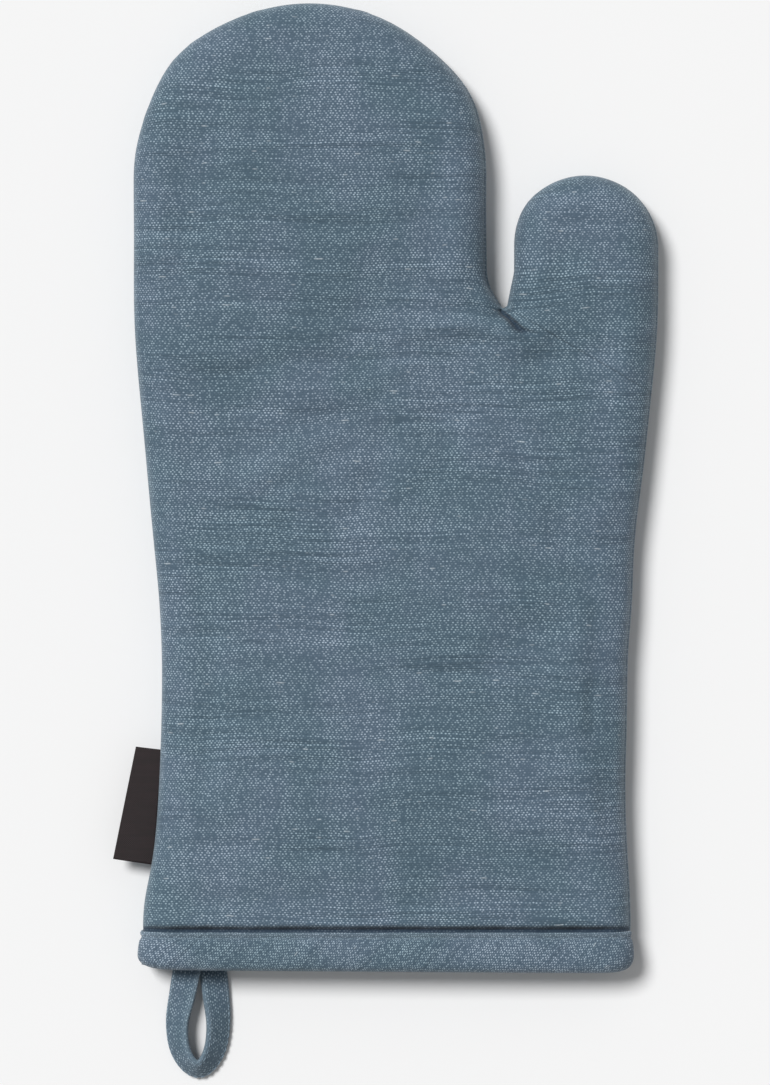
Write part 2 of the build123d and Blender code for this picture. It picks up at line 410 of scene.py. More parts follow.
def settle():
    """Blows the cover up, and keeps each point's move less the broad swelling round it: the mean
    of the moves near it, by a narrow bell, less their mean by a wide one."""
    plan, triangles, edge = cover_mesh()
    square = ((plan[:, None, :] - edge[None, :, :]) ** 2).sum(axis=2)
    on_seam = square.min(axis=1) < (0.05 * mm) ** 2
    count = len(plan)
    back_index = np.where(on_seam, np.arange(count), count + np.cumsum(~on_seam) - 1)
    front_place = surface(plan, True, groove=False, ditched=False)[0]
    back_place = surface(plan, False, groove=False, ditched=False)[0]
    front_place[on_seam, 2] = middle
    start = np.concatenate([front_place, back_place[~on_seam]])
    flip = triangles[:, ::-1]
    a, b, c = (plan[triangles[:, k]] for k in range(3))
    turn = np.cross(b - a, c - a).sum()
    up, down_side = (triangles, flip) if turn > 0 else (flip, triangles)
    mesh = bpy.data.meshes.new("cover")
    mesh.from_pydata(start.tolist(), [], up.tolist() + back_index[down_side].tolist())
    cover = bpy.data.objects.new("cover", mesh)
    scene.collection.objects.link(cover)
    held = cover.vertex_groups.new(name="held")
    cuff_points = np.flatnonzero(start[:, 1] < held_y).tolist()
    held.add(cuff_points, 1.0, "REPLACE")
    seam = cover.vertex_groups.new(name="seam")
    seam.add(np.flatnonzero(on_seam).tolist(), 1.0, "REPLACE")
    cloth = cover.modifiers.new("cloth", "CLOTH")
    setting = cloth.settings
    setting.quality = 6
    setting.mass = 0.3
    setting.tension_stiffness = setting.compression_stiffness = 15.0
    setting.shear_stiffness = 5.0
    setting.bending_stiffness = 0.2
    setting.use_pressure = True
    setting.uniform_pressure_force = sim_pressure
    setting.vertex_group_mass = "held"
    setting.vertex_group_shrink = "seam"
    setting.shrink_max = seam_shrink
    setting.effector_weights.gravity = 0.0
    cloth.collision_settings.use_collision = False
    cloth.point_cache.frame_start = 1
    cloth.point_cache.frame_end = sim_frames
    for frame_number in range(1, sim_frames + 1):
        scene.frame_set(frame_number)
    swollen = cover.evaluated_get(bpy.context.evaluated_depsgraph_get())
    found = np.empty(len(start) * 3, np.float32)
    swollen.data.vertices.foreach_get("co", found)
    move = found.reshape(-1, 3).astype(float) - start
    scene.frame_set(1)
    bpy.data.objects.remove(cover)
    bpy.data.meshes.remove(mesh)
    x = grid_low[0] + grid_step * np.arange(grid_size[0])
    y = grid_low[1] + grid_step * np.arange(grid_size[1])
    spots = np.stack(np.meshgrid(x, y, indexing="ij"), axis=2).reshape(-1, 2)
    for front in (True, False):
        own = np.arange(count) if front else back_index
        side_move = move[own]
        fields = []
        for reach in (0.75 * sim_spacing, broad):
            total = np.zeros((len(spots), 3))
            weight = np.zeros(len(spots))
            for first in range(0, len(spots), 2000):
                gap = ((spots[first : first + 2000, None, :] - plan[None, :, :]) ** 2).sum(axis=2)
                bell = np.exp(-gap / (2 * reach**2)) + 1e-12
                total[first : first + 2000] = bell @ side_move
                weight[first : first + 2000] = bell.sum(axis=1)
            fields.append(total / weight[:, None])
        uneven = fields[0] - fields[1]
        length = np.linalg.norm(uneven, axis=1, keepdims=True)
        uneven *= settle_cap * np.tanh(length / settle_cap) / np.maximum(length, 1e-9)
        hold = 1 - falloff((spots[:, 1] - held_y) / hold_fade)
        uneven *= hold[:, None]
        uneven[:, :2] *= sideways_share
        if not front:
            uneven[:, 2] *= back_share
        settling[front] = uneven.reshape(*grid_size, 3)


settle()


# ------------------------------------------------------------------ Grids over the pattern
# Rows run from a spine to the edge, so the mesh follows the rim all round. The thumb has a grid of
# its own, and both share the points of the line across the thumb's root.
main_rings, thumb_rings = 56, 30
row_step = 1.3 * mm

main_reach = np.sin(np.linspace(0, np.pi / 2, main_rings + 1))
steps = np.linspace(0, 1, thumb_rings + 1)
thumb_reach = np.sin(steps * np.pi / 2)

root_normal = np.array([np.sin(thumb_fold_angle), np.cos(thumb_fold_angle)])
search = np.linspace(0, thumb_y, 4000)
beyond = (np.stack([x_at(right_line, search), search], axis=1) - crotch) @ root_normal
root_end_y = np.interp(0.0, beyond, search)
root_end = np.array([x_at(right_line, root_end_y), root_end_y])
root_middle = (crotch + root_end) / 2
root_line = np.concatenate(
    [
        root_middle + (crotch - root_middle) * thumb_reach[::-1, None],
        (root_middle + (root_end - root_middle) * thumb_reach[:, None])[1:],
    ]
)


def rows_between(low, high):
    """Even heights from low to high."""
    return np.linspace(low, high, int((high - low) / row_step) + 2)


ditch_rows = np.arange(10.0, 18.0, 0.35) * mm
low_rows = np.concatenate(
    [rows_between(cuff_start, 9.6 * mm), ditch_rows, rows_between(18.0 * mm, root_end_y)]
)
high_rows = rows_between(crotch[1], finger_y)
heights = np.concatenate([low_rows, root_line[::-1, 1][1:], high_rows[1:]])
right_edge = np.concatenate(
    [
        np.stack([x_at(right_line, low_rows), low_rows], axis=1),
        root_line[::-1][1:],
        np.stack([x_at(finger_side, high_rows), high_rows], axis=1)[1:],
    ]
)
left_edge = np.stack([x_at(left_line, heights), heights], axis=1)
bend = heights / finger_y
spine = np.stack([finger_x * bend * bend * (3 - 2 * bend), heights], axis=1)
lobe_angles = np.linspace(np.pi, 0.0, 90)[1:-1]


def fan(edge, middle_line, reach):
    """A grid of rows from the middle line out to the edge, with rings at each reach."""
    return middle_line[:, None, :] + (edge - middle_line)[:, None, :] * reach[None, :, None]


finger_centre = np.array([finger_x, finger_y])
main_plan = fan(
    np.concatenate(
        [left_edge, lobe(finger_x, finger_y, finger_radius, lobe_angles), right_edge[::-1]]
    ),
    np.concatenate([spine, np.tile(finger_centre, (len(lobe_angles), 1)), spine[::-1]]),
    main_reach,
)

thumb_centre = np.array([thumb_x, thumb_y])
share = np.linspace(0, 1, 34)
left_y = crotch[1] + (thumb_y - crotch[1]) * share
right_y = root_end_y + (thumb_y - root_end_y) * share
thumb_left_edge = np.stack([x_at(thumb_side, left_y), left_y], axis=1)
thumb_right_edge = np.stack([x_at(right_line, right_y), right_y], axis=1)
thumb_spine = root_middle + (thumb_centre - root_middle) * share[:, None]
thumb_angles = np.linspace(np.pi, 0.0, 60)[1:-1]
thumb_plan = fan(
    np.concatenate(
        [
            thumb_left_edge,
            lobe(thumb_x, thumb_y, thumb_radius, thumb_angles),
            thumb_right_edge[::-1],
        ]
    ),
    np.concatenate(
        [thumb_spine, np.tile(thumb_centre, (len(thumb_angles), 1)), thumb_spine[::-1]]
    ),
    thumb_reach,
)


crease_full = 3.2 * mm


def tuck_shade(points):
    """How far into a tuck a point lies, from 0 to 1: the creases at the crotch and the ditch. It sets where
    the cloth gets painted shade.
    """
    crease = np.clip(crease_depth(points) / crease_full, 0, 1)
    ditch = np.exp(-(((points[:, 1] - ditch_y) / ditch_width) ** 2))
    return np.maximum(crease, ditch)


def grid_mesh(name, grid, flat, rim, front, tuck=None):
    """A mesh of a grid of points: four neighbours make a face, and points in one place are one.
    flat is each point's place on the cloth, rim its distance from the edge, tuck how deep it is
    in a tuck, which sets the painted shade there."""
    rows, rings = grid.shape[:2]
    points = grid.reshape(-1, 3)
    keys = np.round(points / (0.5e-6)).astype(np.int64)
    _, first, same = np.unique(keys, axis=0, return_index=True, return_inverse=True)
    same = same.reshape(-1)
    index = same.reshape(rows, rings)
    quads = np.stack(
        [index[:-1, :-1], index[1:, :-1], index[1:, 1:], index[:-1, 1:]], axis=2
    ).reshape(-1, 4)
    if not front:
        quads = quads[:, [1, 0, 3, 2]]
    pole = quads[:, 0] == quads[:, 1]
    triangles = quads[pole][:, 1:]
    mesh = bpy.data.meshes.new(name)
    mesh.from_pydata(points[first].tolist(), [], quads[~pole].tolist() + triangles.tolist())
    loops = np.empty(len(mesh.loops), np.int32)
    mesh.loops.foreach_get("vertex_index", loops)
    layer = mesh.uv_layers.new(name="Cloth")
    layer.data.foreach_set("uv", flat.reshape(-1, 2)[first][loops].astype(np.float32).ravel())
    wear = mesh.attributes.new("Rim", "FLOAT", "POINT")
    wear.data.foreach_set("value", rim.reshape(-1)[first].astype(np.float32))
    if tuck is not None:
        shaded = mesh.attributes.new("Tuck", "FLOAT", "POINT")
        shaded.data.foreach_set("value", tuck[first].astype(np.float32))
    mesh.shade_smooth()
    mesh.update()
    piece = bpy.data.objects.new(name, mesh)
    scene.collection.objects.link(piece)
    return piece


crotch_gather, least_lift = 7.0 * mm, 0.05 * mm


def layer_grid(plan, front, depth):
    """A layer at a depth below the outside: drawn in sideways at the rim and downwards away from it,
    kept below the outside over it, and gathered to the seam's height where the crotch pulls."""
    points = plan.reshape(-1, 2)
    roll = front_roll if front else back_roll
    place, distance, outward = surface(points, front, groove=depth == 0, spread=0.9 * depth)
    flat = pattern_place(points, distance, outward, roll)
    if depth:
        sign = 1 if front else -1
        inside = np.clip(1 - distance / roll, 0, 1)
        drawn_in = outward * (inside * depth)[:, None]
        over = surface(points - drawn_in, front, groove=False, spread=0.5 * depth)[0][:, 2]
        lift = np.minimum(
            sign * (place[:, 2] - middle) - np.sqrt(1 - inside**2) * depth,
            sign * (over - middle) - 0.85 * depth,
        )
        place[:, :2] -= drawn_in
        near = ((place[:, :2] - crotch) ** 2).sum(axis=1) / crotch_gather**2
        lift *= 1 - np.exp(-near)
        place[:, 2] = middle + sign * np.maximum(lift, least_lift)
    shape = plan.shape[:2]
    return place.reshape(*shape, 3), flat.reshape(plan.shape), distance.reshape(shape)


# ------------------------------------------------------------------ Slub cloth
# Shell, binding and loop are one piece-dyed slate-blue cotton: a pin-dot weave whose pale weft
# floats vary in thickness along each row, so rows come out in streaks with odd white slubs.
dot_pitch, row_pitch = 1.2, 0.73


def srgb(red, green, blue):
    """A display colour from 0 to 255 as linear light."""
    value = np.array([red, green, blue]) / 255.0
    linear = np.where(value <= 0.04045, value / 12.92, ((value + 0.055) / 1.055) ** 2.4)
    return (*linear.tolist(), 1.0)


def put(tree, kind, inputs=(), **settings):
    """A node with its settings, and its inputs in order: a socket is linked, a value is set."""
    new = tree.nodes.new(kind)
    for key, value in settings.items():
        setattr(new, key, value)
    for socket, value in zip(new.inputs, inputs):
        if isinstance(value, bpy.types.NodeSocket):
            tree.links.new(value, socket)
        elif value is not None:
            socket.default_value = value
    return new


def calc(tree, operation, *values, clamp=False):
    """One step of arithmetic on sockets or numbers."""
    return put(tree, "ShaderNodeMath", values, operation=operation, use_clamp=clamp).outputs[0]


def blend_colours(tree, share, one, two, way="MIX"):
    """One colour laid over another by a share."""
    new = put(tree, "ShaderNodeMix", data_type="RGBA", blend_type=way)
    for socket, value in ((new.inputs[0], share), (new.inputs[6], one), (new.inputs[7], two)):
        if isinstance(value, bpy.types.NodeSocket):
            tree.links.new(value, socket)
        else:
            socket.default_value = value
    return new.outputs[2]


def noise(tree, x, y, detail=1.0, rough=0.5):
    """Smooth noise from nought to one over two coordinates."""
    place = put(tree, "ShaderNodeCombineXYZ", (x, y, 0.0)).outputs[0]
    new = put(tree, "ShaderNodeTexNoise", noise_dimensions="2D")
    tree.links.new(place, new.inputs["Vector"])
    new.inputs["Scale"].default_value = 1.0
    new.inputs["Detail"].default_value = detail
    new.inputs["Roughness"].default_value = rough
    return new.outputs["Fac"]


def ramp(tree, value, low, high, first=0.0, last=1.0):
    """A smooth rise from first at low to last at high."""
    new = put(
        tree, "ShaderNodeMapRange", (value, low, high, first, last), interpolation_type="SMOOTHSTEP"
    )
    return new.outputs[0]


def new_group(name, inputs, outputs):
    """An empty node group with these sockets, and its inside ends."""
    tree = bpy.data.node_groups.new(name, "ShaderNodeTree")
    for label, kind in inputs:
        tree.interface.new_socket(label, in_out="INPUT", socket_type=kind)
    for label, kind in outputs:
        tree.interface.new_socket(label, in_out="OUTPUT", socket_type=kind)
    return tree, put(tree, "NodeGroupInput"), put(tree, "NodeGroupOutput")


def slub_weave():
    """The weave, over a place on the cloth in metres: its colour, and the height of its threads."""
    tree, start, end = new_group(
        "slub_weave",
        [
            ("Cloth", "NodeSocketVector"),
            ("Ground", "NodeSocketColor"),
            ("Float", "NodeSocketColor"),
            ("Slub", "NodeSocketColor"),
            ("Contrast", "NodeSocketFloat"),
        ],
        [("Color", "NodeSocketColor"), ("Height", "NodeSocketFloat")],
    )
    scaled = put(tree, "ShaderNodeVectorMath", (start.outputs["Cloth"],), operation="SCALE")
    scaled.inputs["Scale"].default_value = 1000.0
    split = put(tree, "ShaderNodeSeparateXYZ", (scaled.outputs[0],))
    across, along = split.outputs[0], split.outputs[1]

    # Threads wander a little from straight
    slow_x = calc(tree, "MULTIPLY", across, 0.02)
    slow_y = calc(tree, "MULTIPLY", along, 0.02)
    drift = noise(tree, slow_x, slow_y, 2.0)
    along = calc(tree, "ADD", along, calc(tree, "MULTIPLY", drift, 3.5))
    across = calc(tree, "ADD", across, calc(tree, "MULTIPLY", drift, -2.0))

    # Rows of floats, every other row shifted by half a dot
    rows = calc(tree, "DIVIDE", along, row_pitch)
    row = calc(tree, "FLOOR", rows)
    odd = calc(tree, "FLOORED_MODULO", row, 2.0)
    dots = calc(tree, "ADD", calc(tree, "DIVIDE", across, dot_pitch), calc(tree, "MULTIPLY", odd, 0.5))
    column = calc(tree, "FLOOR", dots)
    cell = put(tree, "ShaderNodeCombineXYZ", (column, row, 0.0)).outputs[0]
    chance = put(tree, "ShaderNodeTexWhiteNoise", (cell,), noise_dimensions="2D").outputs[1]
    own, shift_x, shift_y = put(tree, "ShaderNodeSeparateColor", (chance,)).outputs[:3]
    in_dot = calc(tree, "SUBTRACT", calc(tree, "FRACT", dots), ramp(tree, shift_x, 0.0, 1.0, 0.34, 0.66))
    in_row = calc(tree, "SUBTRACT", calc(tree, "FRACT", rows), ramp(tree, shift_y, 0.0, 1.0, 0.38, 0.62))
    wide = calc(tree, "POWER", calc(tree, "DIVIDE", in_dot, 0.3), 2.0)
    tall = calc(tree, "POWER", calc(tree, "DIVIDE", in_row, 0.36), 2.0)
    dot = calc(tree, "SUBTRACT", 1.25, calc(tree, "ADD", wide, tall), clamp=True)

    # Thick and thin stretches along each weft row, busier bands of rows, and faint warp streaks
    row_seed = calc(tree, "MULTIPLY", row, 7.31)
    weft = noise(tree, calc(tree, "MULTIPLY", across, 0.03), row_seed, 2.0)
    band_y = calc(tree, "MULTIPLY", along, 0.13)
    band = noise(tree, calc(tree, "MULTIPLY", across, 0.006), band_y, 3.0, 0.6)
    busy_y = calc(tree, "ADD", calc(tree, "MULTIPLY", along, 0.09), 31.7)
    busy = noise(tree, calc(tree, "MULTIPLY", across, 0.01), busy_y, 2.0)
    warp_seed = calc(tree, "MULTIPLY", column, 5.17)
    warp = noise(tree, warp_seed, calc(tree, "MULTIPLY", along, 0.012), 1.0)
    stripe = noise(tree, calc(tree, "MULTIPLY", across, 0.09), calc(tree, "MULTIPLY", along, 0.004), 1.0)
    patch_x, patch_y = calc(tree, "MULTIPLY", across, 0.03), calc(tree, "MULTIPLY", along, 0.03)
    patch = noise(tree, patch_x, patch_y, 3.0, 0.55)
    fine = noise(tree, calc(tree, "MULTIPLY", across, 1.9), calc(tree, "MULTIPLY", along, 2.6), 2.0, 0.7)

    speck = noise(tree, calc(tree, "MULTIPLY", across, 0.24), calc(tree, "MULTIPLY", row, 3.77), 0.0)
    core = ramp(tree, calc(tree, "ABSOLUTE", in_row), 0.45, 0.1)
    slub = calc(tree, "MULTIPLY", ramp(tree, speck, 0.82, 0.95), core)
    long_x, long_y = calc(tree, "MULTIPLY", across, 0.02), calc(tree, "MULTIPLY", row, 5.71)
    between = ramp(tree, calc(tree, "ABSOLUTE", in_row), 0.2, 0.5)
    gap = calc(tree, "MULTIPLY", between, ramp(tree, noise(tree, long_x, long_y, 2.0), 0.45, 0.65))

    liveliness = ramp(tree, busy, 0.38, 0.65, 0.2, 1.0)
    row_shift = calc(tree, "MULTIPLY", calc(tree, "SUBTRACT", weft, 0.5), liveliness)
    strength = calc(tree, "ADD", calc(tree, "MULTIPLY", row_shift, 1.8), 0.6)
    strength = calc(tree, "ADD", strength, ramp(tree, band, 0.3, 0.7, -0.1, 0.1))
    strength = calc(tree, "ADD", strength, ramp(tree, warp, 0.3, 0.7, -0.08, 0.08))
    strength = calc(tree, "ADD", strength, ramp(tree, stripe, 0.35, 0.65, -0.07, 0.07))
    strength = calc(tree, "ADD", strength, ramp(tree, own, 0.0, 1.0, -0.42, 0.42))
    strength = calc(tree, "ADD", strength, ramp(tree, fine, 0.3, 0.7, -0.14, 0.14))
    strength = calc(tree, "MULTIPLY", strength, start.outputs["Contrast"])
    cover = calc(tree, "MULTIPLY", dot, strength, clamp=True)
    colour = blend_colours(tree, cover, start.outputs["Ground"], start.outputs["Float"])
    band_tone = ramp(tree, band, 0.3, 0.7, 0.975, 1.025)
    tone = calc(tree, "ADD", band_tone, ramp(tree, patch, 0.3, 0.7, -0.05, 0.05))
    tone = calc(tree, "ADD", tone, calc(tree, "MULTIPLY", row_shift, 0.4))
    dark_gap = calc(tree, "MULTIPLY", calc(tree, "MULTIPLY", gap, liveliness), 0.3)
    tone = calc(tree, "SUBTRACT", tone, dark_gap)
    tones = put(tree, "ShaderNodeCombineColor", (tone, tone, tone)).outputs[0]
    colour = blend_colours(tree, 1.0, colour, tones, "MULTIPLY")
    hue = put(tree, "ShaderNodeCombineColor", (
        ramp(tree, patch, 0.3, 0.7, 0.955, 1.045),
        1.0,
        ramp(tree, patch, 0.3, 0.7, 0.995, 1.03),
    )).outputs[0]
    colour = blend_colours(tree, 1.0, colour, hue, "MULTIPLY")
    colour = blend_colours(tree, calc(tree, "MULTIPLY", slub, 0.5), colour, start.outputs["Slub"])
    tree.links.new(colour, end.inputs["Color"])
    height = calc(tree, "ADD", calc(tree, "MULTIPLY", dot, 0.7), calc(tree, "MULTIPLY", slub, 0.5))
    height = calc(tree, "ADD", height, calc(tree, "MULTIPLY", fine, 0.4))
    tree.links.new(height, end.inputs["Height"])
    return tree


weave_group = slub_weave()
cloth_ground, cloth_float = srgb(80, 100, 115), srgb(164, 183, 195)
# cloth_shadow is the colour of the painted shade laid into the tucks and the ditch
cloth_slub, cloth_shadow = srgb(200, 210, 216), srgb(34, 50, 68)


def new_material(name, rough, sheen):
    """A material with its shader's own constants set, its tree and its shader node."""
    material = bpy.data.materials.new(name)
    material.use_nodes = True
    shader = material.node_tree.nodes["Principled BSDF"]
    shader.inputs["Roughness"].default_value = rough
    shader.inputs["Specular IOR Level"].default_value = 0.25
    shader.inputs["Sheen Weight"].default_value = sheen
    shader.inputs["Sheen Roughness"].default_value = 0.5
    return material, material.node_tree, shader


def slub_cloth(name, turn=0.0, shade=1.0, contrast=1.0, fineness=1.0):
    """Slub cloth cut at an angle to its own threads, its rubbed rims a little paler, and its tucks
    darkened with painted shade where the creases and the ditch would lie in shadow."""
    material, tree, shader = new_material(name, 0.85, 0.15)
    cloth = put(tree, "ShaderNodeUVMap", uv_map="Cloth").outputs[0]
    mapping = put(tree, "ShaderNodeMapping", (cloth,))
    mapping.inputs["Rotation"].default_value = (0.0, 0.0, np.radians(turn))
    mapping.inputs["Scale"].default_value = (fineness, fineness, 1.0)
    weave = put(tree, "ShaderNodeGroup", node_tree=weave_group)
    tree.links.new(mapping.outputs[0], weave.inputs["Cloth"])
    for label, value in (("Ground", cloth_ground), ("Float", cloth_float), ("Slub", cloth_slub)):
        weave.inputs[label].default_value = (*(part * shade for part in value[:3]), 1.0)
    weave.inputs["Contrast"].default_value = contrast
    rim = put(tree, "ShaderNodeAttribute", attribute_name="Rim").outputs["Fac"]
    rubbed = ramp(tree, rim, 0.0, 2.5 * mm, 0.16, 0.0)
    colour = blend_colours(tree, rubbed, weave.outputs["Color"], cloth_float)
    tuck = put(tree, "ShaderNodeAttribute", attribute_name="Tuck").outputs["Fac"]
    # Painted shade: the crotch creases and the binding's ditch are darkened towards cloth_shadow
    colour = blend_colours(tree, ramp(tree, tuck, 0.1, 1.0, 0.0, 0.8), colour, cloth_shadow)
    tree.links.new(colour, shader.inputs["Base Color"])
    bump = put(tree, "ShaderNodeBump")
    bump.inputs["Strength"].default_value = 0.4
    bump.inputs["Distance"].default_value = 0.22 * mm
    tree.links.new(weave.outputs["Height"], bump.inputs["Height"])
    tree.links.new(bump.outputs[0], shader.inputs["Normal"])
    return material


shell_material = slub_cloth("slate_slub_cloth", shade=0.96, contrast=0.9)
bias_material = slub_cloth(
    "slate_slub_cloth_on_the_bias", turn=52.0, shade=0.95, contrast=1.3, fineness=1.2
)


# ------------------------------------------------------------------ Shell
# The outer cover is two panels of the slub cloth, sewn together round the edge and turned. The
# thumb's part of each panel has a mesh of its own.
shell_cloth = 0.8 * mm


def bend_over(piece):
    """Bakes the piece's placement into its mesh."""
    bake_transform(piece)


thinning_steps = 24


def add_walls(piece, wall):
    """Gives a cloth its thickness, inwards from its outside, thinned where the crotch pulls."""
    count = len(piece.data.vertices)
    place = np.empty(count * 3, np.float32)
    piece.data.vertices.foreach_get("co", place)
    near = ((place.reshape(-1, 3)[:, :2] - crotch) ** 2).sum(axis=1) / crotch_gather**2
    step = np.round((1 - np.exp(-near)) * thinning_steps).astype(int)
    full = piece.vertex_groups.new(name="full")
    for number in range(1, thinning_steps + 1):
        full.add(np.flatnonzero(step == number).tolist(), number / thinning_steps, "REPLACE")
    solid = piece.modifiers.new("thickness", "SOLIDIFY")
    solid.thickness = wall
    solid.offset = -1.0
    solid.use_even_offset = False
    solid.use_rim = True
    solid.vertex_group = "full"
    solid.thickness_vertex_group = 0.1


def make_panels(layer, depth, wall, material):
    """The front and back panels of one layer, each in a main part and a thumb part."""
    for side in ("front", "back"):
        for section, plan in (("fingers", main_plan), ("thumb", thumb_plan)):
            grid, flat, rim = layer_grid(plan if not depth else plan[:, ::2], side == "front", depth)
            name = f"{layer}_{side}_panel" if section == "fingers" else f"{layer}_{side}_thumb_panel"
            tuck = None
            # Only the front shell carries the tuck depth that sets its painted shade
            if not depth and side == "front":
                tuck = tuck_shade(plan.reshape(-1, 2))
            piece = grid_mesh(name, grid, flat, rim, side == "front", tuck)
            piece.data.materials.append(material)
            add_walls(piece, wall)
            bend_over(piece)
            nodes = [f"{layer}_{side}_{section}"]
            if section == "fingers":
                nodes.append(f"{layer}_{side}_palm")
            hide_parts(*nodes)


make_panels("shell", 0.0, shell_cloth, shell_material)


# ------------------------------------------------------------------ Wadding
# A needled cotton wadding lies between shell and lining on both sides, cut from the same pattern
# and caught in the edge seam.
layer_gap = 0.1 * mm
wadding_outside = shell_cloth + layer_gap
wadding_depth = 3.9 * mm


def fibre_material():
    """Off-white matted fibre: tangled noise at two scales for its tone and its tufts."""
    material, tree, shader = new_material("cotton_wadding", 0.95, 0.3)
    place = put(tree, "ShaderNodeTexCoord").outputs["Object"]
    tangle = put(tree, "ShaderNodeTexNoise", noise_dimensions="3D")
    tree.links.new(place, tangle.inputs["Vector"])
    tangle.inputs["Scale"].default_value = 700.0
    tangle.inputs["Detail"].default_value = 4.0
    tangle.inputs["Distortion"].default_value = 1.2
    share = ramp(tree, tangle.outputs["Fac"], 0.3, 0.7)
    colour = blend_colours(tree, share, srgb(206, 201, 188), srgb(240, 237, 229))
    tree.links.new(colour, shader.inputs["Base Color"])
    bump = put(tree, "ShaderNodeBump")
    bump.inputs["Strength"].default_value = 0.7
    bump.inputs["Distance"].default_value = 0.5 * mm
    tree.links.new(tangle.outputs["Fac"], bump.inputs["Height"])
    tree.links.new(bump.outputs[0], shader.inputs["Normal"])
    return material


make_panels("wadding", wadding_outside, wadding_depth, fibre_material())


# ------------------------------------------------------------------ Lining
# A thin plain-woven cotton lining faces the hand, sewn as a bag of its own inside the wadding and
# caught with the other layers in the cuff binding.
lining_outside = wadding_outside + wadding_depth + layer_gap
lining_cloth = 0.5 * mm


def plain_weave(name, dark, pale, pitch, rough):
    """A fine plain weave: two waves at right angles whose crossings alternate."""
    material, tree, shader = new_material(name, rough, 0.1)
    cloth = put(tree, "ShaderNodeUVMap", uv_map="Cloth").outputs[0]
    split = put(tree, "ShaderNodeSeparateXYZ", (cloth,))
    turns = np.pi / pitch
    wave_x = calc(tree, "SINE", calc(tree, "MULTIPLY", split.outputs[0], turns))
    wave_y = calc(tree, "SINE", calc(tree, "MULTIPLY", split.outputs[1], turns))
    check = calc(tree, "MULTIPLY", wave_x, wave_y)
    streak = noise(
        tree,
        calc(tree, "MULTIPLY", split.outputs[0], 60.0),
        calc(tree, "MULTIPLY", split.outputs[1], 900.0),
        2.0,
    )
    crossing = ramp(tree, check, -1.0, 1.0, 0.1, 0.75)
    share = calc(tree, "ADD", crossing, ramp(tree, streak, 0.3, 0.7, -0.15, 0.2))
    colour = blend_colours(tree, share, dark, pale)
    tree.links.new(colour, shader.inputs["Base Color"])
    bump = put(tree, "ShaderNodeBump")
    bump.inputs["Strength"].default_value = 0.5
    bump.inputs["Distance"].default_value = 0.12 * mm
    tree.links.new(check, bump.inputs["Height"])
    tree.links.new(bump.outputs[0], shader.inputs["Normal"])
    return material


lining_material = plain_weave("plain_lining", srgb(138, 145, 150), srgb(176, 182, 186), 0.55 * mm, 0.8)
make_panels("lining", lining_outside, lining_cloth, lining_material)


# ------------------------------------------------------------------ Seam threads
# One lockstitched seam joins the shell's panels round the edge and another the lining's. On the
# outside only a thin line of thread shows at the bottom of the seam's groove.
thread_radius = 0.16 * mm


def carried(path, width_way, up_way, section):
    """A closed section carried along a path: each point is the path's, plus the section's two
    offsets along the width and up directions there. Rows follow the path."""
    return (
        path[:, None, :]
        + width_way[:, None, :] * section[None, :, 0, None]
        + up_way[:, None, :] * section[None, :, 1, None]
    )


def tube_mesh(name, grids, flats=None, closed=False, rim=None):
    """A mesh of one or more grids, each closed round its section, with its ends filled in, or
    closed along its path as well. Faces are turned to point outwards by the volume's sign."""
    points, faces, flat_points, base = [], [], [], 0
    for number, grid in enumerate(grids):
        rows, sides = grid.shape[:2]
        index = base + np.arange(rows * sides).reshape(rows, sides)
        around = np.roll(index, -1, axis=1)
        if closed:
            after, after_around = np.roll(index, -1, axis=0), np.roll(around, -1, axis=0)
        else:
            index, after = index[:-1], index[1:]
            around, after_around = around[:-1], around[1:]
        quads = np.stack([index, after, after_around, around], axis=2).reshape(-1, 4)
        one, two, three, four = (grid.reshape(-1, 3)[quads[:, k] - base] for k in range(4))
        volume = (one * np.cross(two, three)).sum() + (one * np.cross(three, four)).sum()
        if volume < 0:
            quads = quads[:, ::-1]
        faces += quads.tolist()
        if not closed:
            first = (base + np.arange(sides)).tolist()
            last = (base + (rows - 1) * sides + np.arange(sides)).tolist()
            faces += [first, last[::-1]] if volume > 0 else [first[::-1], last]
        points.append(grid.reshape(-1, 3))
        if flats is not None:
            flat_points.append(flats[number].reshape(-1, 2))
        base += rows * sides
    mesh = bpy.data.meshes.new(name)
    mesh.from_pydata(np.concatenate(points).tolist(), [], faces)
    if flats is not None:
        loops = np.empty(len(mesh.loops), np.int32)
        mesh.loops.foreach_get("vertex_index", loops)
        layer = mesh.uv_layers.new(name="Cloth")
        layer.data.foreach_set("uv", np.concatenate(flat_points)[loops].astype(np.float32).ravel())
    if rim is not None:
        wear = mesh.attributes.new("Rim", "FLOAT", "POINT")
        wear.data.foreach_set("value", rim.reshape(-1).astype(np.float32))
    mesh.shade_smooth()
    mesh.update()
    piece = bpy.data.objects.new(name, mesh)
    scene.collection.objects.link(piece)
    return piece


def thread_material():
    """Spun polyester thread, with its twist as a slanting wave."""
    material, tree, shader = new_material("slate_thread", 0.6, 0.2)
    place = put(tree, "ShaderNodeTexCoord").outputs["Object"]
    split = put(tree, "ShaderNodeSeparateXYZ", (place,))
    slant = calc(tree, "ADD", split.outputs[0], calc(tree, "MULTIPLY", split.outputs[1], 0.6))
    twist = calc(tree, "SINE", calc(tree, "MULTIPLY", slant, 2 * np.pi / (0.5 * mm)))
    share = ramp(tree, twist, -1.0, 1.0)
    colour = blend_colours(tree, share, srgb(96, 118, 136), srgb(150, 170, 184))
    tree.links.new(colour, shader.inputs["Base Color"])
    bump = put(tree, "ShaderNodeBump")
    bump.inputs["Strength"].default_value = 0.4
    bump.inputs["Distance"].default_value = 0.1 * mm
    tree.links.new(twist, bump.inputs["Height"])
    tree.links.new(bump.outputs[0], shader.inputs["Normal"])
    return material


thread_material = thread_material()


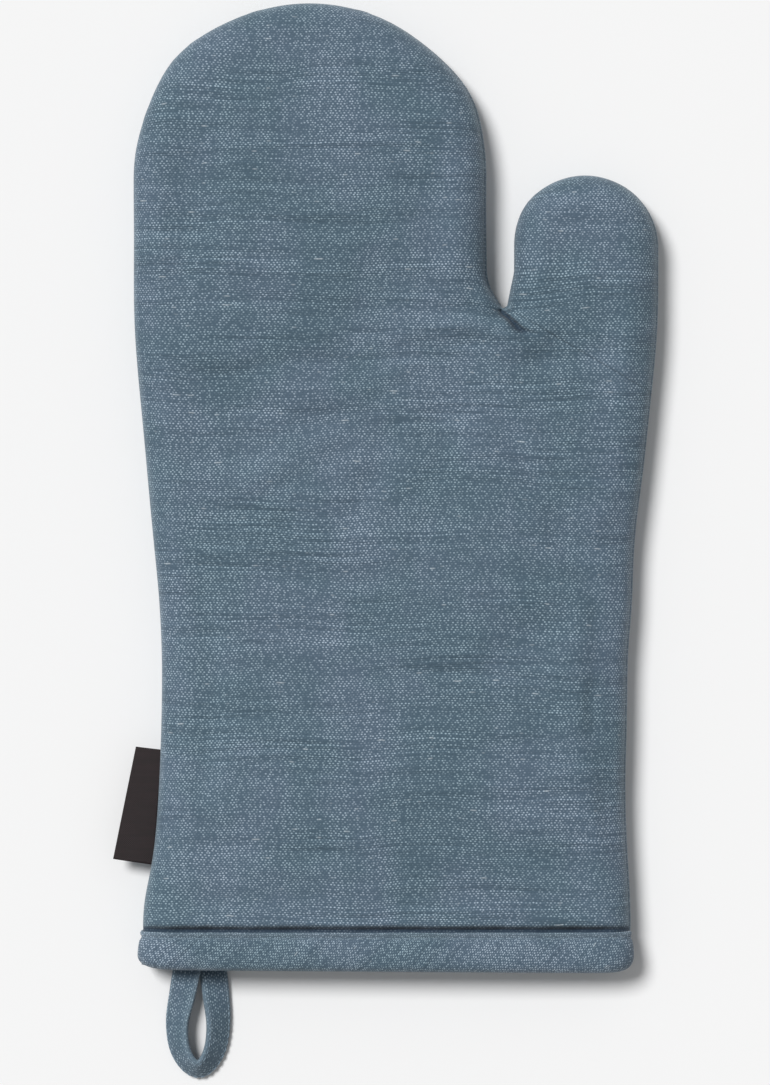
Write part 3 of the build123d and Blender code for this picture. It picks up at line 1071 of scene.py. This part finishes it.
def flat_headings(path):
    """Level unit vectors square to a level path, to its left."""
    way = np.gradient(path, axis=0)
    left = np.stack([-way[:, 1], way[:, 0], np.zeros(len(path))], axis=1)
    return left / np.linalg.norm(left, axis=1)[:, None]


def ring_section(radius, sides=8):
    """A round section."""
    angle = np.arange(sides) * 2 * np.pi / sides
    return radius * np.stack([np.cos(angle), np.sin(angle)], axis=1)


def seam_tube(line, depth):
    """A thread along a stretch of the outline, moved in by a depth, at mid height."""
    distance, outward = inward(line)
    path = np.concatenate([pushed(line) - outward * depth, np.full((len(line), 1), middle)], axis=1)
    path += settled(line, True, 0 * distance)
    upright = np.tile([0.0, 0.0, 1.0], (len(path), 1))
    return carried(path, flat_headings(path), upright, ring_section(thread_radius))


left_run = left_line[left_line[:, 1] >= cuff_start][::-3]
finger_run = lobe(finger_x, finger_y, finger_radius, np.linspace(np.pi, 0, 140))
main_run = np.concatenate([left_run, finger_run[1:-1], finger_side[::4]])
heel_run = right_line[(right_line[:, 1] < root_end_y) & (right_line[:, 1] >= cuff_start)][::3]
thumb_run = np.concatenate(
    [
        thumb_side[::4],
        lobe(thumb_x, thumb_y, thumb_radius, np.linspace(np.pi, 0, 80))[1:-1],
        right_line[right_line[:, 1] >= root_end_y][::3],
    ]
)
for seam, depth in (("shell_seam", 0.75 * mm), ("lining_seam", lining_outside + lining_cloth / 2)):
    main_thread = tube_mesh(seam, [seam_tube(main_run, depth), seam_tube(heel_run, depth)])
    thumb_thread = tube_mesh(f"{seam}_thumb", [seam_tube(thumb_run, depth)])
    for piece, section, nodes in (
        (main_thread, "fingers", [f"{seam}_palm", f"{seam}_fingers"]),
        (thumb_thread, "thumb", [f"{seam}_thumb"]),
    ):
        piece.data.materials.append(thread_material)
        bend_over(piece)
        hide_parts(*nodes)


# ------------------------------------------------------------------ Cuff binding
# One bias strip of the slub cloth is folded over the raw edges of all the layers round the mouth
# and stitched through near its upper edge, which pulls a ditch into the padding above it.
ring_count = 330
fold_y, corner_radius, lean = 0.5 * mm, 5.0 * mm, 0.55 * mm
stitch_y, stitch_pitch, stitch_dent = 11.6 * mm, 3.1 * mm, 0.35 * mm

# The strip's section: how far up from the mouth's edge, and how far out from the shell under it
strip_section = np.array(
    [
        (13.7, -0.3), (13.8, 0.2), (13.5, 0.65), (12.9, 0.8), (12.3, 0.7), (11.95, 0.35), (11.6, 0.0),
        (11.25, 0.4), (10.8, 0.85), (9.8, 1.1), (8.2, 1.3), (6.4, 1.4), (4.6, 1.3), (3.0, 0.95),
        (1.7, 0.2), (0.9, -1.0), (0.5, -2.6), (0.8, -4.3), (1.6, -5.3), (4.0, -5.5), (9.0, -5.4),
        (12.4, -5.3), (13.0, -4.9), (12.6, -4.4), (8.0, -4.3), (3.0, -4.3), (2.3, -3.6), (2.3, -0.8),
        (3.0, -0.2), (8.0, -0.2),
    ]
) * mm


def smooth_loop(points, count, softness):
    """A closed line through given points, evenly spaced, its corners softened by averaging."""
    closed = np.concatenate([points, points[:1]])
    even = dense(closed, 0.1 * mm)[:-1]
    reach = int(softness / (0.1 * mm))
    window = np.arange(-reach, reach + 1)
    soft = np.mean([np.roll(even, shift, axis=0) for shift in window], axis=0)
    pick = np.linspace(0, len(soft), count, endpoint=False).astype(int)
    return soft[pick]


def mouth_ring(height):
    """The shell's outside round the whole mouth at one height above the cuff, and its outward
    directions: across the front from left to right and back under from right to left."""
    reach = np.sin(np.linspace(-np.pi / 2, np.pi / 2, ring_count))
    level = max(height, cuff_start)
    left, right = x_at(left_line, level), x_at(right_line, level)
    x = (left + right) / 2 + (right - left) / 2 * reach
    points = np.stack([x, np.full(ring_count, level)], axis=1)
    front = surface(points, True, groove=False, ditched=False)[0]
    back = surface(points[::-1], False, groove=False, ditched=False)[0]
    ring = np.concatenate([front, back])
    rise = np.clip((height - fold_y) / corner_radius, 0, 1)
    pull = corner_radius * (1 - np.sqrt(1 - (1 - rise) ** 2))
    share = np.clip(ring[:, 0] / right, -1, 1)
    ring[:, 0] -= pull * share**3 * np.where(share < 0, 0.9, 0.5)
    ring[:, 1] = height - lean * share * falloff(height / (8 * mm))
    way = np.roll(ring, -1, axis=0) - np.roll(ring, 1, axis=0)
    out = np.stack([-way[:, 2], np.zeros(len(ring)), way[:, 0]], axis=1)
    return ring, out / np.linalg.norm(out, axis=1)[:, None]


def strip_grid(section):
    """The strip's section set round the mouth: rows go round, each offset outwards from the shell."""
    columns = []
    for height, lift in section:
        ring, out = mouth_ring(height)
        run = np.linalg.norm(np.diff(ring, axis=0, prepend=ring[:1]), axis=1).cumsum()
        stitched = np.exp(-(((height - stitch_y) / (0.5 * mm)) ** 2)) * (lift > 0)
        dent = stitch_dent * stitched * (0.5 + 0.5 * np.cos((run / stitch_pitch - 0.37) * 2 * np.pi))
        columns.append(ring + out * (lift - dent)[:, None])
    return np.stack(columns, axis=1)


strip_line = smooth_loop(strip_section, 72, 0.3 * mm)
binding_grid = strip_grid(strip_line)
binding_grid[..., 2] = np.maximum(binding_grid[..., 2], 0.05 * mm)
outer_line = 20
round_steps = np.diff(binding_grid[:, outer_line], axis=0, append=binding_grid[:1, outer_line])
round_run = np.linalg.norm(round_steps, axis=1).cumsum()
strip_run = np.linalg.norm(np.diff(strip_line, axis=0, append=strip_line[:1]), axis=1).cumsum()
binding_flat = np.stack(np.meshgrid(round_run, strip_run, indexing="ij"), axis=2)
fold_distance = np.abs(strip_line[:, 0] - 13.2 * mm) + 2 * mm * (strip_line[:, 1] < 0)
binding_rim = np.tile(fold_distance, (len(binding_grid), 1))
binding = tube_mesh("cuff_binding_strip", [binding_grid], [binding_flat], closed=True, rim=binding_rim)
binding.data.materials.append(bias_material)
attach(binding, "palm")
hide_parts("cuff_binding")


# ------------------------------------------------------------------ Binding stitches
# A lockstitch in slate thread runs right round the mouth, sunk in the dip just below the
# binding's upper edge.
stitch_lift = 0.15 * mm
stitch_length, stitch_radius = 2.2 * mm, 0.2 * mm


def stitch_row(ring, out, pitch, length, radius):
    """Short threads along a closed or open line: each follows the line for its length, its ends
    sunk into the cloth and thinned to a point."""
    run = np.concatenate([[0], np.linalg.norm(np.diff(ring, axis=0), axis=1).cumsum()])
    starts = np.arange(0, run[-1] - length, pitch)
    share = np.linspace(0, 1, 6)
    at = starts[:, None] + share[None, :] * length
    centre = np.stack([np.interp(at, run, ring[:, k]) for k in range(3)], axis=2)
    lift = np.stack([np.interp(at, run, out[:, k]) for k in range(3)], axis=2)
    arch = np.sin(share * np.pi)
    centre = centre + lift * (radius * 1.2 * (arch[None, :, None] - 0.6))
    thin = radius * (0.45 + 0.55 * arch)
    grids = []
    for stitch_centre, stitch_out in zip(centre, lift):
        way = np.gradient(stitch_centre, axis=0)
        side = np.cross(way, stitch_out)
        side /= np.linalg.norm(side, axis=1)[:, None]
        section = ring_section(1.0, 6)
        grid = carried(stitch_centre, side * thin[:, None], stitch_out * thin[:, None], section)
        grids.append(grid)
    return grids


stitch_ring, stitch_out = mouth_ring(stitch_y)
closed_out = np.concatenate([stitch_out, stitch_out[:1]])
stitch_line = np.concatenate([stitch_ring, stitch_ring[:1]]) + closed_out * stitch_lift
stitches = tube_mesh(
    "binding_stitch_row",
    stitch_row(stitch_line, closed_out, stitch_pitch, stitch_length, stitch_radius),
)
stitches.data.materials.append(thread_material)
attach(stitches, "palm")
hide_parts("binding_stitches")


# ------------------------------------------------------------------ Hanging loop
# A strip of the slub cloth folded in four and topstitched, bent into a loop with one leg over the
# other, its ends caught under the binding. It lies on the table with its bend turned on edge.
strip_width, strip_thick = 9.2 * mm, 1.9 * mm
loop_points = np.array(
    [
        (-65.6, 6.0, 6.2, 3), (-65.9, 0.0, 5.9, 5), (-67.3, -8.0, 4.7, 20), (-69.0, -17.0, 3.9, 38),
        (-68.4, -25.0, 4.1, 45), (-65.8, -30.4, 4.3, 50), (-62.2, -32.7, 4.4, 52),
        (-58.8, -30.6, 4.3, 50), (-56.2, -25.0, 3.9, 43), (-55.4, -17.0, 3.6, 36),
        (-56.3, -8.0, 2.7, 20), (-57.2, 0.0, 2.1, 6), (-57.4, 6.0, 2.1, 3),
    ]
)


def through(points, count):
    """A smooth line through points: each span is the cubic that leaves and meets its ends along
    the chords of their neighbours."""
    padded = np.concatenate([2 * points[:1] - points[1:2], points, 2 * points[-1:] - points[-2:-1]])
    at = np.linspace(0, len(points) - 1.000001, count)
    span = at.astype(int)
    t = (at - span)[:, None]
    a, b, c, d = (padded[span + k] for k in range(4))
    return 0.5 * (2 * b + (c - a) * t + (2 * a - 5 * b + 4 * c - d) * t**2 + (3 * b - a - 3 * c + d) * t**3)


def rounded_strip(width, thick, power=5.0, count=36):
    """The strip's section: a superellipse, flat on its faces and round at its edges."""
    angle = np.arange(count) * 2 * np.pi / count
    c, s = np.cos(angle), np.sin(angle)
    return np.stack(
        [
            width / 2 * np.sign(c) * np.abs(c) ** (2 / power),
            thick / 2 * np.sign(s) * np.abs(s) ** (2 / power),
        ],
        axis=1,
    )


loop_line = through(loop_points, 150)
loop_path = loop_line[:, :3] * mm
loop_tilt = np.radians(loop_line[:, 3])
loop_left = flat_headings(loop_path)
loop_up = np.tile([0.0, 0.0, 1.0], (len(loop_path), 1))
tilt_cos, tilt_sin = np.cos(loop_tilt)[:, None], np.sin(loop_tilt)[:, None]
loop_width_way = loop_left * tilt_cos + loop_up * tilt_sin
loop_up_way = loop_up * tilt_cos - loop_left * tilt_sin
loop_section = rounded_strip(strip_width, strip_thick)
loop_grid = carried(loop_path, loop_width_way, loop_up_way, loop_section)
loop_run = np.concatenate([[0], np.linalg.norm(np.diff(loop_path, axis=0), axis=1).cumsum()])
section_run = np.linalg.norm(np.diff(loop_section, axis=0, prepend=0), axis=1).cumsum()
loop_flat = np.stack(np.meshgrid(loop_run, section_run, indexing="ij"), axis=2)
edge_distance = strip_width / 2 - np.abs(loop_section[:, 0])
loop_rim = np.tile(edge_distance, (len(loop_grid), 1))
loop_strip = tube_mesh("hanging_loop_strip", [loop_grid], [loop_flat], rim=loop_rim)
loop_strip.data.materials.append(shell_material)
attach(loop_strip, "loop")
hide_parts("hanging_loop")

# The stitches run along both edges of the strip's upper face, from a little past the binding
loop_stitch_inset, loop_stitch_start = 0.9 * mm, -3.5 * mm
loop_stitch_pitch, loop_stitch_length, loop_stitch_radius = 2.4 * mm, 1.7 * mm, 0.17 * mm
stitched = loop_path[:, 1] < loop_stitch_start
loop_stitches = []
for edge in (-1, 1):
    line = loop_path + loop_width_way * edge * (strip_width / 2 - loop_stitch_inset)
    line = line + loop_up_way * (strip_thick / 2)
    loop_stitches += stitch_row(
        line[stitched], loop_up_way[stitched], loop_stitch_pitch, loop_stitch_length, loop_stitch_radius
    )
loop_stitch_piece = tube_mesh("loop_edge_stitches", loop_stitches)
loop_stitch_piece.data.materials.append(thread_material)
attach(loop_stitch_piece, "loop")


# ------------------------------------------------------------------ Side label
# A dark woven tab, folded double and caught by its open end in the left side seam. Its face is a
# fine plain weave.
label_thick = 1.0 * mm
label_corners = np.array([(-73.6, 73.3), (-76.6, 35.3), (-90.0, 37.2), (-82.5, 74.3)]) * mm


def label_grid():
    """The tab as a sheet between its seam end and its fold, curling slightly down to the fold."""
    along = np.linspace(0, 1, 60)[:, None]
    out = np.linspace(0, 1, 24)[None, :]
    root = label_corners[0] + (label_corners[1] - label_corners[0]) * along
    fold = label_corners[3] + (label_corners[2] - label_corners[3]) * along
    place = root[:, None, :] + (fold - root)[:, None, :] * out[..., None]
    height = middle - 1.6 * mm * out**2 * (1 - 0.4 * along) + 0.3 * mm * np.sin(along * np.pi)
    grid = np.concatenate([place, height[..., None]], axis=2)
    return grid, place.copy()


label_sheet, label_flat = label_grid()
label_rim = np.full(label_sheet.shape[:2], 1.0)
label = grid_mesh("side_label_tab", label_sheet[::-1], label_flat[::-1], label_rim, True)
label_dark, label_pale = srgb(20, 12, 14), srgb(38, 26, 28)
label.data.materials.append(plain_weave("dark_woven_label", label_dark, label_pale, 0.35 * mm, 0.45))
add_walls(label, label_thick)
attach(label, "label")
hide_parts("side_label")


# ------------------------------------------------------------------ Table, light and camera
# A plain pale table under a broad soft light from the fingers' left, seen from straight above.
bpy.ops.mesh.primitive_plane_add(size=6.0, location=(0, 0, -0.2 * mm))
table = bpy.context.object
table.name = "table"
table_material, _, table_shader = new_material("pale_table", 0.9, 0.0)
table_shader.inputs["Base Color"].default_value = (0.9, 0.9, 0.9, 1.0)
table_shader.inputs["Specular IOR Level"].default_value = 0.0
table.data.materials.append(table_material)

world = bpy.data.worlds.new("studio")
world.use_nodes = True
world.node_tree.nodes["Background"].inputs[0].default_value = (1.0, 1.0, 1.0, 1.0)
world.node_tree.nodes["Background"].inputs[1].default_value = 0.29
scene.world = world

sun = bpy.data.lights.new("key", "SUN")
sun.energy, sun.angle = 2.72, np.radians(20.0)
key = bpy.data.objects.new("key", sun)
key.rotation_euler = Vector((0.47, -0.42, -1.0)).to_track_quat("-Z", "Y").to_euler()
scene.collection.objects.link(key)

view_height = 358.05 * mm
camera_height = 1.5
sensor = 36.0
camera_data = bpy.data.cameras.new("camera")
camera_data.sensor_width = sensor
camera_data.lens = sensor * (camera_height - middle) / view_height
camera = bpy.data.objects.new("camera", camera_data)
camera.location = (-0.2 * mm, 141.7 * mm, camera_height)
scene.collection.objects.link(camera)
scene.camera = camera
scene.view_settings.view_transform = "Standard"
